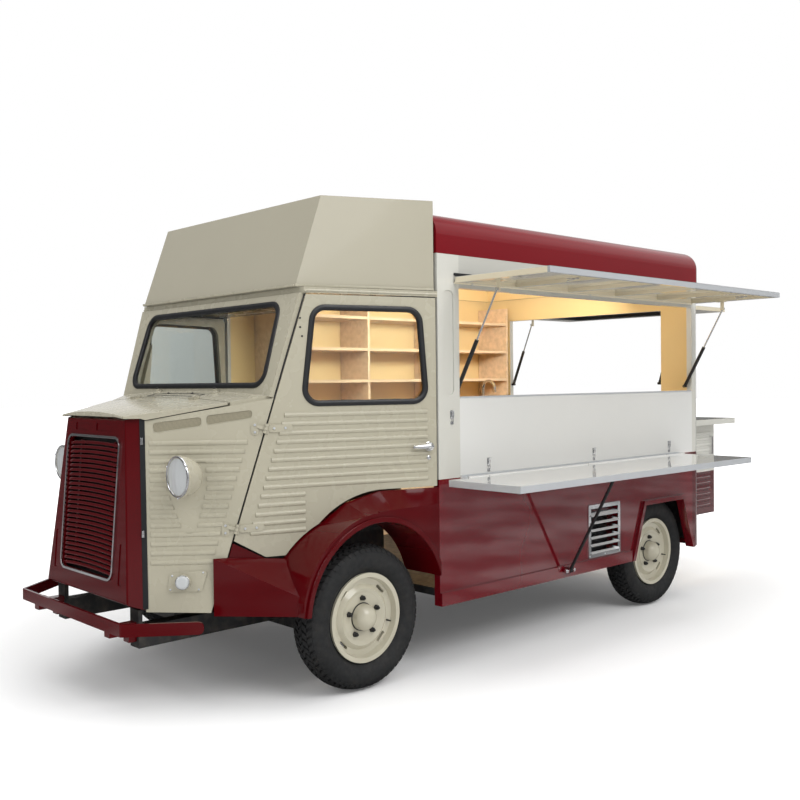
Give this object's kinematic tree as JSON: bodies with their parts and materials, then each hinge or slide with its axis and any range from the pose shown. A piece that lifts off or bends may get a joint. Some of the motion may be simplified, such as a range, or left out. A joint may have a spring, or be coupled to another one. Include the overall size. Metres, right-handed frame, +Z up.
{
  "type": "ice cream truck",
  "caption": "Small snub-nosed ribbed-steel van fitted as an ice cream truck, with a raised serving hatch, a side counter, a rear flap and half doors, and a sign box over the cab",
  "frame": {"origin": "bottom centre of the box round the whole truck, on the ground, with hatch, counter and rear flap as in the picture", "axes": "+X to the truck's left (serving side), +Y to its rear, +Z up; the front faces -Y"},
  "size_m": [2.614, 4.927, 2.416],
  "materials": {
    "black_plastic": "matte",
    "burgundy_paint": "gloss",
    "cast_iron": "matte",
    "chrome": "polished",
    "cream_paint": "gloss",
    "dark_steel": "satin",
    "glass": "gloss",
    "lamp_glass": "gloss",
    "rod_steel": "polished",
    "seat_cover": "satin",
    "strut_black": "satin",
    "tyre": "matte",
    "wood": "satin"
  },
  "bodies": {
    "chassis": {"bumper": "burgundy_paint", "cab_roof": "cream_paint", "counter_panel": "cream_paint", "dashboard": "black_plastic", "engine": "cast_iron", "fender_left": "burgundy_paint", "fender_right": "burgundy_paint", "front_axle": "dark_steel", "galley": "wood", "grille": "burgundy_paint", "grille_trim": "chrome", "header_rails": "cream_paint", "headlamp_lenses": "lamp_glass", "headlamps": "cream_paint", "lower_panel_left": "burgundy_paint", "lower_panel_right": "burgundy_paint", "nose_cowl": "burgundy_paint", "pillar": "cream_paint", "platform": "dark_steel", "rear_axle": "dark_steel", "rear_board": "cream_paint", "rear_post_left": "cream_paint", "rear_post_right": "cream_paint", "right_wall": "cream_paint", "roof": "burgundy_paint", "screen_frame": "cream_paint", "screen_glass": "glass", "seats": "seat_cover", "side_vent": "chrome", "sign_box": "cream_paint", "tap": "chrome", "wing_left": "cream_paint", "wing_right": "cream_paint"},
    "bonnet": {"bonnet": "cream_paint"},
    "door_left": {"door_left": "cream_paint", "door_glass_left": "glass"},
    "door_right": {"door_right": "cream_paint", "door_glass_right": "glass"},
    "hatch": {"hatch": "cream_paint"},
    "hatch_barrels": {"hatch_barrels": "strut_black"},
    "hatch_rods": {"hatch_rods": "rod_steel"},
    "counter_shelf": {"counter_shelf": "cream_paint"},
    "shelf_stay": {"shelf_stay": "black_plastic"},
    "rear_flap": {"rear_flap": "cream_paint", "rear_flap_glass": "glass"},
    "flap_barrels": {"flap_barrels": "strut_black"},
    "flap_rods": {"flap_rods": "rod_steel"},
    "rear_door_left": {"rear_door_left": "cream_paint"},
    "rear_door_right": {"rear_door_right": "cream_paint"},
    "knuckle_left": {"knuckle_left": "dark_steel"},
    "knuckle_right": {"knuckle_right": "dark_steel"},
    "steering_wheel": {"steering_wheel": "black_plastic"},
    "wheel_front_left": {"rim_front_left": "cream_paint", "tyre_front_left": "tyre"},
    "wheel_front_right": {"rim_front_right": "cream_paint", "tyre_front_right": "tyre"},
    "wheel_rear_left": {"rim_rear_left": "cream_paint", "tyre_rear_left": "tyre"},
    "wheel_rear_right": {"rim_rear_right": "cream_paint", "tyre_rear_right": "tyre"}
  },
  "joints": [
    {"name": "steer_left", "type": "hinge", "parent": "chassis", "child": "knuckle_left", "pos_m": [0.466, -1.3585, 0.355], "axis": [0, 0, 1], "range_deg": [-30, 30]},
    {"name": "spin_front_left", "type": "hinge", "parent": "knuckle_left", "child": "wheel_front_left", "pos_m": [0.531, -1.3585, 0.355], "axis": [1, 0, 0], "continuous": true},
    {"name": "spin_rear_left", "type": "hinge", "parent": "chassis", "child": "wheel_rear_left", "pos_m": [0.531, 1.1715, 0.355], "axis": [1, 0, 0], "continuous": true},
    {"name": "steer_right", "type": "hinge", "parent": "chassis", "child": "knuckle_right", "pos_m": [-1.074, -1.3585, 0.355], "axis": [0, 0, 1], "range_deg": [-30, 30]},
    {"name": "spin_front_right", "type": "hinge", "parent": "knuckle_right", "child": "wheel_front_right", "pos_m": [-1.139, -1.3585, 0.355], "axis": [1, 0, 0], "continuous": true},
    {"name": "spin_rear_right", "type": "hinge", "parent": "chassis", "child": "wheel_rear_right", "pos_m": [-1.139, 1.1715, 0.355], "axis": [1, 0, 0], "continuous": true},
    {"name": "steer_hand", "type": "hinge", "parent": "chassis", "child": "steering_wheel", "pos_m": [0.1455, -1.4585, 1.29], "axis": [0, 0.722, 0.6919], "range_deg": [-420, 420]},
    {"name": "open_door_left", "type": "hinge", "parent": "chassis", "child": "door_left", "pos_m": [0.38203, -1.95245, 0.83], "axis": [-0.089, -0.291, -0.9526], "range_deg": [0, 62]},
    {"name": "open_door_right", "type": "hinge", "parent": "chassis", "child": "door_right", "pos_m": [-0.99003, -1.95245, 0.83], "axis": [-0.089, 0.291, 0.9526], "range_deg": [0, 62]},
    {"name": "open_bonnet", "type": "hinge", "parent": "chassis", "child": "bonnet", "pos_m": [-0.304, -1.9215, 1.437], "axis": [-1, 0, 0], "range_deg": [0, 55]},
    {"name": "close_hatch", "type": "hinge", "parent": "chassis", "child": "hatch", "pos_m": [0.689, 0.3625, 2.01], "axis": [0, 1, 0], "range_deg": [0, 90]},
    {"name": "swing_hatch_barrels", "type": "hinge", "parent": "chassis", "child": "hatch_barrels", "pos_m": [0.641, 0.3855, 1.45], "axis": [0, -1, 0], "range_deg": [0, 28.65]},
    {"name": "stroke_hatch_rods", "type": "slide", "parent": "hatch_barrels", "child": "hatch_rods", "axis": [-0.4849, 0, -0.8746], "range_m": [0, 0.26472]},
    {"name": "close_flap", "type": "hinge", "parent": "chassis", "child": "rear_flap", "pos_m": [-0.304, 1.6655, 2.01], "axis": [-1, 0, 0], "range_deg": [0, 90]},
    {"name": "swing_flap_barrels", "type": "hinge", "parent": "chassis", "child": "flap_barrels", "pos_m": [-0.304, 1.6335, 1.47], "axis": [1, 0, 0], "range_deg": [0, 28.23]},
    {"name": "stroke_flap_rods", "type": "slide", "parent": "flap_barrels", "child": "flap_rods", "axis": [0, -0.4355, -0.9002], "range_m": [0, 0.21548]},
    {"name": "raise_shelf", "type": "hinge", "parent": "chassis", "child": "counter_shelf", "pos_m": [0.73, 0.2235, 1], "axis": [0, -1, 0], "range_deg": [0, 90]},
    {"name": "swing_stay", "type": "hinge", "parent": "chassis", "child": "shelf_stay", "pos_m": [0.718, 0.112, 0.392], "axis": [0, -1, 0], "range_deg": [0, 22]},
    {"name": "close_rear_door_left", "type": "hinge", "parent": "chassis", "child": "rear_door_left", "pos_m": [0.396, 1.6655, 0.815], "axis": [0, 0, 1], "range_deg": [0, 90]},
    {"name": "close_rear_door_right", "type": "hinge", "parent": "chassis", "child": "rear_door_right", "pos_m": [-1.004, 1.6655, 0.815], "axis": [0, 0, -1], "range_deg": [0, 90]}
  ],
  "couplings": [
    {"joint": "steer_right", "follows": "steer_left", "ratio": 1},
    {"joint": "steer_hand", "follows": "steer_left", "ratio": 14},
    {"joint": "swing_hatch_barrels", "follows": "close_hatch", "ratio": 0.31836},
    {"joint": "stroke_hatch_rods", "follows": "close_hatch", "m_per_rad": 0.16853},
    {"joint": "swing_flap_barrels", "follows": "close_flap", "ratio": 0.31362},
    {"joint": "stroke_flap_rods", "follows": "close_flap", "m_per_rad": 0.13718},
    {"joint": "swing_stay", "follows": "raise_shelf", "ratio": 0.24444}
  ]
}
